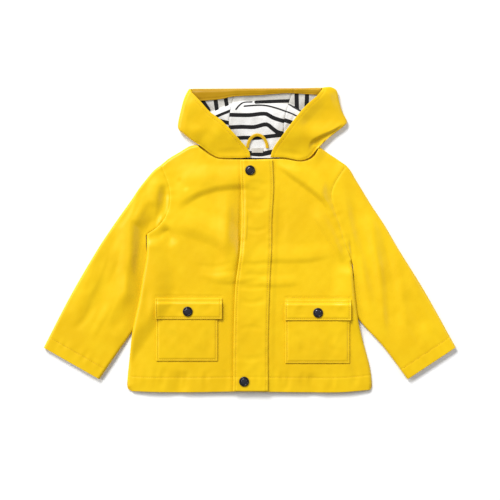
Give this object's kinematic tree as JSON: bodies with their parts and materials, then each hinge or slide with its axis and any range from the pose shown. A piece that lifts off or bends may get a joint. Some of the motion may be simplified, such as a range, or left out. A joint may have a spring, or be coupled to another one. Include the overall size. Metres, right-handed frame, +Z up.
{
  "type": "kids raincoat",
  "caption": "Child's hooded raincoat of coated cloth, laid flat face up, with a storm flap, flap pockets and a striped hood lining.",
  "frame": {"origin": "centre of the laid coat's outline, on the table under it", "axes": "+X towards the wearer's left, +Y from hem to hood, +Z up from the table"},
  "size_m": [0.619, 0.4587, 0.0166],
  "materials": {
    "coated_cloth": "yellow coated cloth, soft satin sheen",
    "striped_jersey": "white knitted jersey with narrow black stripes",
    "tab": "pale woven tape, bare",
    "snap_metal": "black enamelled snap caps, satin"
  },
  "bodies": {
    "root": {"back": "coated_cloth", "front_right": "coated_cloth", "front_left": "coated_cloth", "sleeve_right": "coated_cloth", "sleeve_left": "coated_cloth", "placket": "coated_cloth", "pocket_right": "coated_cloth", "pocket_flap_right": "coated_cloth", "pocket_left": "coated_cloth", "pocket_flap_left": "coated_cloth", "hood_side_right": "coated_cloth", "hood_side_left": "coated_cloth", "hood_centre": "coated_cloth", "hanging_loop": "coated_cloth", "hood_facing": "coated_cloth", "hood_lining_centre": "striped_jersey", "hood_lining_right": "striped_jersey", "hood_lining_left": "striped_jersey", "hood_crown": "striped_jersey", "size_tab": "tab", "snap_neck": "snap_metal", "snap_hem": "snap_metal", "snap_pocket_right": "snap_metal", "snap_pocket_left": "snap_metal"}
  },
  "joints": []
}
